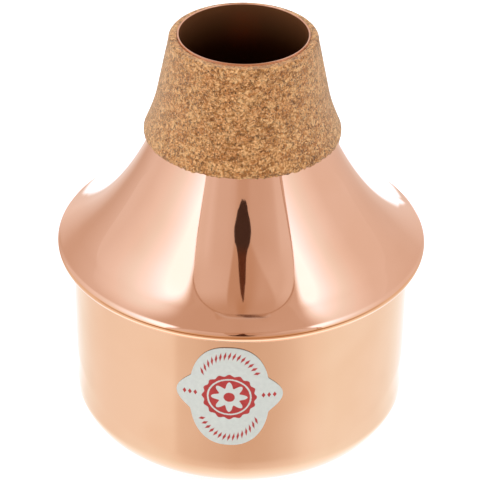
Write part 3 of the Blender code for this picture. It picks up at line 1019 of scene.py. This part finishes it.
def ribbon(name, path, distance, material):
    """A narrow strip at a distance, from (bearing, elevation, half width) along its middle, in degrees."""
    middle = np.array(path)
    level = np.cos(np.radians(middle[:, 1]))
    run = np.gradient(middle[:, :2], axis=0)
    run[:, 0] *= level
    run /= np.hypot(run[:, 0], run[:, 1])[:, None]
    aside = np.column_stack([-run[:, 1] / level, run[:, 0]]) * middle[:, 2:3]
    sides = np.concatenate([middle[:, :2] - aside, middle[:, :2] + aside])
    places = [toward(bearing, elevation, distance) for bearing, elevation in sides]
    count = len(middle)
    faces = [(i, i + 1, count + i + 1, count + i) for i in range(count - 1)]
    stage_mesh(name, places, faces, material)


def tape(name, path, half_width, distance, dark, pale):
    """A strip of woven tape that shines a little, along a path of (bearing, elevation) in degrees."""
    material, tree, shader = new_material(name, "Emission")
    tree.fill(shader, {"Color": tree.mix(tree.noise(tree.place(), 0.02), dark, pale)})
    ribbon(name, [(bearing, elevation, half_width) for bearing, elevation in path], distance, material)


def dark_cards(distance):
    """The lens with the slit above it and a gap under the roof, in felt that is rustier high up."""
    felt, tree, shader = new_material("dark_felt")
    nap = tree.noise(tree.place(), 0.05)
    high = tree.remap(tree.split(tree.place(1.0 / distance))[2], 0.57, 0.65)
    low_felt = tree.mix(nap, (0.044, 0.020, 0.012), (0.064, 0.032, 0.020))
    tree.fill(shader, {"Base Color": tree.mix(high, low_felt, (0.100, 0.030, 0.009)), "Roughness": 1.0})
    ribbon("lens_and_slit", [
        (0.4, 21.9, 0.3), (0.5, 22.3, 1.4), (0.6, 22.8, 2.7), (0.8, 23.3, 3.7), (1, 24, 4.5),
        (1.1, 25.5, 5.1), (1.2, 27, 6), (1.3, 28.2, 6.65), (1.3, 29.6, 7.1), (1.3, 31.2, 7.1),
        (1.2, 32.6, 6.6), (1.2, 34.4, 6), (1.3, 35.6, 5.1), (1.1, 36.8, 4.15), (1.1, 38.7, 3.35),
        (1.1, 40.2, 2.95), (1.2, 42.5, 2.6), (1.3, 45.2, 2.35), (1.5, 48, 2.08), (1.8, 52.7, 1.7),
        (1.8, 54.5, 1.42), (2, 58, 1.1), (2.3, 61.9, 0.72), (2.8, 64, 0.5), (3, 67.5, 0.12),
    ], distance, felt)
    ribbon("front_gap", [
        (-10, 79.5, 0.05), (0, 79.6, 0.2), (10, 79.7, 0.32), (20, 79.4, 0.34), (30, 78.8, 0.26),
        (40, 78.1, 0.12), (48, 77.2, 0.03),
    ], distance, felt)


def sheet_edges(distance):
    """The hem round the front sheet, and a pale piping along the top of it."""
    tape("sheet_hem", [
        (-43.5, 8), (-42.6, 18), (-42.2, 28), (-43, 40), (-43.6, 48), (-43.7, 56), (-43.3, 63),
        (-42.5, 69), (-41.5, 73.4), (-38, 76.2), (-32, 78), (-22, 79), (-10, 79.6),
        (6, 79.7), (22, 79.2), (34, 78.3), (43, 77), (49, 75.2), (51.5, 72.4), (51.6, 69),
        (51, 64), (50.4, 58), (49.7, 50), (49, 42), (47.8, 32), (46, 23), (44.2, 12), (43.8, 8),
    ], 0.32, distance, (0.48, 0.33, 0.23), (0.55, 0.38, 0.27))
    tape("hem_piping", [
        (-41, 76.4), (-34, 78.3), (-24, 79.6), (-10, 80.3), (6, 80.4), (22, 79.9),
        (34, 79.1), (44, 77.8), (50, 76.2),
    ], 0.28, distance, (0.66, 0.58, 0.52), (0.72, 0.64, 0.58))


def studio_world():
    """Plain white beyond the studio."""
    world = bpy.data.worlds.new("studio")
    bpy.context.scene.world = world
    tree = Tree(world)
    background = tree.get("Background", {"Color": WHITE, "Strength": 1.0})
    tree.add("OutputWorld", {"Surface": background})


def pale_floor():
    """A white table that keeps the mute's shadow. The copper mirrors the tent's bright ground instead."""
    material, tree, shader = new_material("pale_floor")
    seen = 0.0
    for ray in ("Is Camera Ray", "Is Transmission Ray", "Is Glossy Ray"):
        seen = tree.larger(tree.get("LightPath", output=ray), seen)
    tree.fill(shader, {
        "Emission Strength": seen * 0.56,
        "Emission Color": WHITE,
        "Base Color": (0.76, 0.79, 0.83),
        "Roughness": 1.0,
        "Specular IOR Level": 0.0,
    })
    bpy.ops.mesh.primitive_plane_add(size=14.0, location=(0.0, 0.0, 0.0))
    added_to_stage("floor", material).visible_glossy = False


class MUTE_OT_studio(bpy.types.Operator):
    """Floor, light and camera"""

    bl_idname = "mute.studio"
    bl_label = "Studio"

    def execute(self, context):
        studio = context.scene.mute_studio
        studio_world()
        pale_floor()
        tent(radius=5.0)
        near_ground(radius=0.060)
        side_panel(
            "left_panel", -1, front=(1.10, 1.10, 0.75), hot=(5.27, -1.60, 1.69, 0.83, 0.88),
            top=(2.27, -0.21, 1.51, 0.71, 0.53), least=0.80,
        )
        side_panel(
            "right_panel", 1, front=(0.945, 0.885, 0.62), hot=(8.00, -1.26, 2.20, 0.54, 0.74),
            top=(2.44, 0.15, 1.21, 0.46, 0.61), least=0.82,
        )
        card_distance = 4.2
        dark_cards(card_distance)
        sheet_edges(card_distance * 1.06)

        lens = bpy.data.cameras.new("camera")
        camera = bpy.data.objects.new("camera", lens)
        context.scene.collection.objects.link(camera)
        context.scene.camera = camera
        picture_width = 480.0
        lens.sensor_width = 36.0
        lens.lens = studio.focal_pixels / picture_width * lens.sensor_width
        lens.shift_x = -0.00231
        lens.shift_y = 0.00521
        lens.clip_start = 0.01
        tilt = Matrix.Rotation(math.pi / 2 - studio.camera_pitch, 4, "X")
        roll = Matrix.Rotation(studio.camera_roll, 4, "Z")
        place = Matrix.Translation((0.0, -studio.camera_back, studio.camera_height))
        camera.matrix_world = place @ tilt @ roll
        context.scene.view_settings.view_transform = "Standard"
        return {"FINISHED"}


OPERATORS = (
    MUTE_OT_upper_shell,
    MUTE_OT_bowl_shell,
    MUTE_OT_cork_collar,
    MUTE_OT_label,
    MUTE_OT_stem,
    MUTE_OT_studio,
)


class MUTE_PT_panel(bpy.types.Panel):
    """Lists the mute's pieces"""

    bl_label = "Mute"
    bl_idname = "MUTE_PT_panel"
    bl_space_type = "VIEW_3D"
    bl_region_type = "UI"
    bl_category = "Mute"

    def draw(self, context):
        for operator in OPERATORS:
            self.layout.operator(operator.bl_idname)


GROUPS = {
    "mute_sizes": MuteSizes,
    "mute_label": MuteLabel,
    "mute_finish": MuteFinish,
    "mute_studio": MuteStudio,
}


def register():
    for group in GROUPS.values():
        bpy.utils.register_class(group)
    for name, group in GROUPS.items():
        setattr(bpy.types.Scene, name, PointerProperty(type=group))
    for operator in OPERATORS:
        bpy.utils.register_class(operator)
    bpy.utils.register_class(MUTE_PT_panel)


def unregister():
    bpy.utils.unregister_class(MUTE_PT_panel)
    for operator in reversed(OPERATORS):
        bpy.utils.unregister_class(operator)
    for name in GROUPS:
        delattr(bpy.types.Scene, name)
    for group in reversed(list(GROUPS.values())):
        bpy.utils.unregister_class(group)


def main():
    register()
    bpy.ops.mute.upper_shell()
    bpy.ops.mute.bowl_shell()
    bpy.ops.mute.cork_collar()
    bpy.ops.mute.label()
    bpy.ops.mute.stem()
    bpy.ops.mute.studio()


if __name__ == "__main__":
    main()
